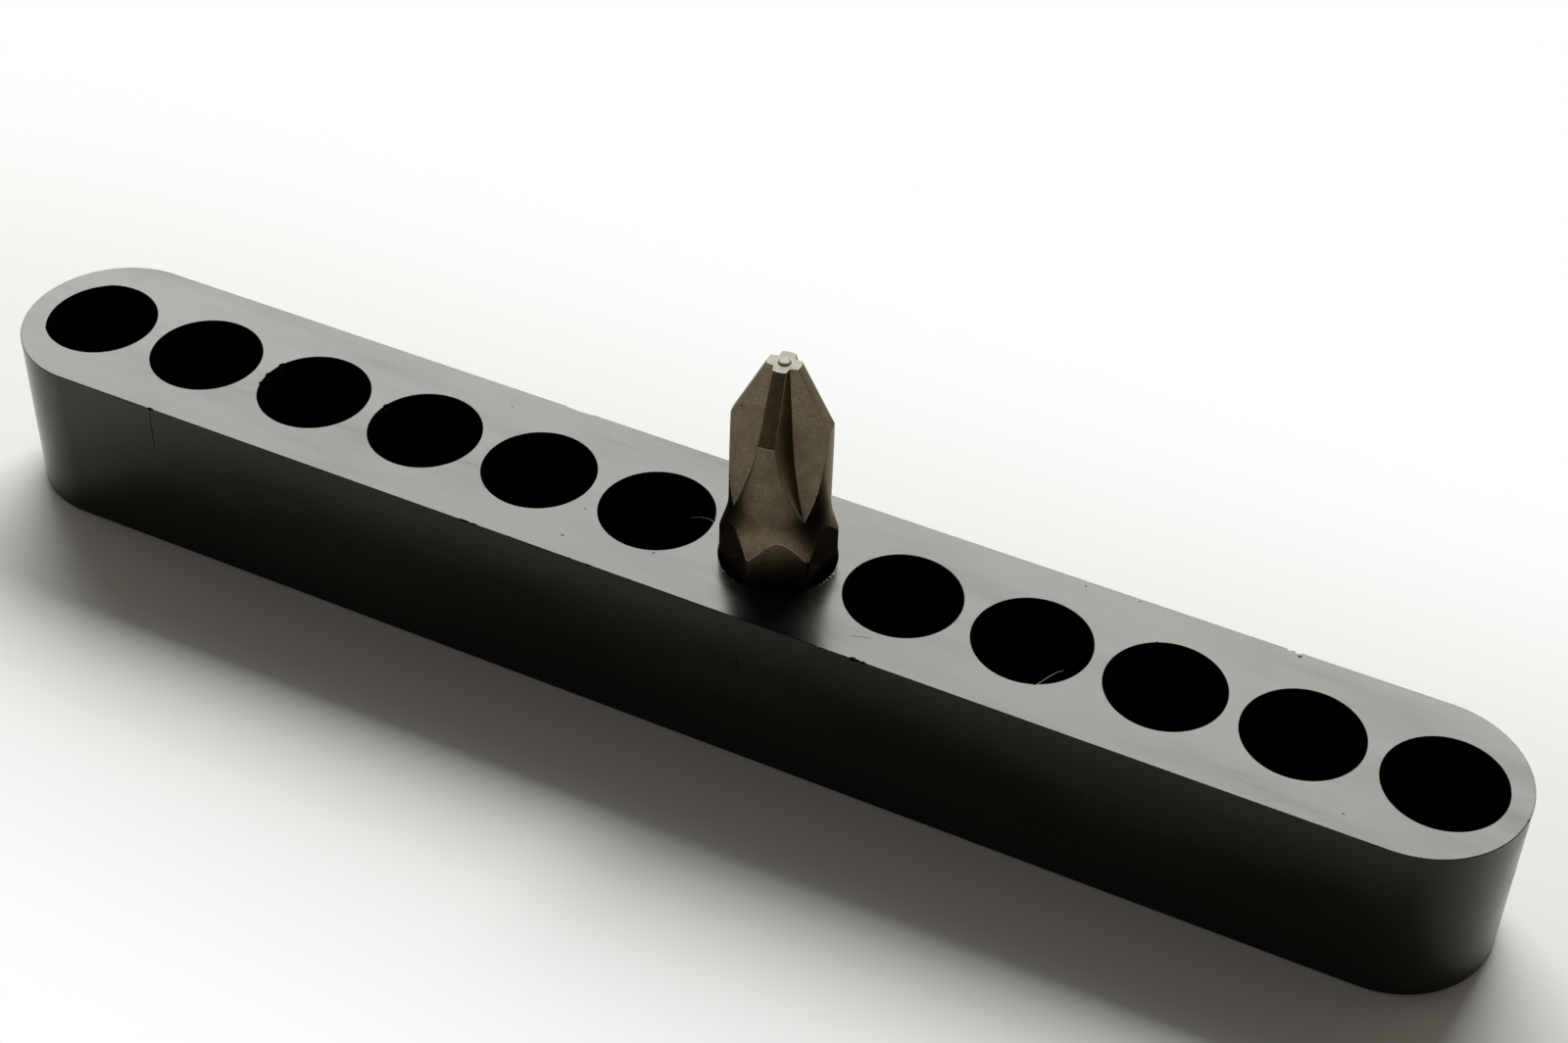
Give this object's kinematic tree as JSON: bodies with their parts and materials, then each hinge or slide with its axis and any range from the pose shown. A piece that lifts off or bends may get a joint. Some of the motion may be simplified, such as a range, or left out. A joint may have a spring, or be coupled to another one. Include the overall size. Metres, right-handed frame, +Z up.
{
  "type": "bit holder",
  "caption": "Moulded plastic bar with full-round ends and a row of round blind sockets for hexagonal screwdriver bits, with one cross-point bit standing in it.",
  "frame": {"origin": "middle of the bar's flat underside", "axes": "+X along the row of sockets, towards the side with the bit; +Z up, out of the sockets' mouths"},
  "size_m": [0.1016, 0.0126, 0.0264],
  "materials": {
    "black_plastic": "moulded, semi-gloss, lightly scuffed",
    "tool_steel": "matt blasted steel, bright on the parted-off tip"
  },
  "bodies": {
    "root": {"holder_block": "black_plastic", "screwdriver_bit": "tool_steel"}
  },
  "joints": []
}
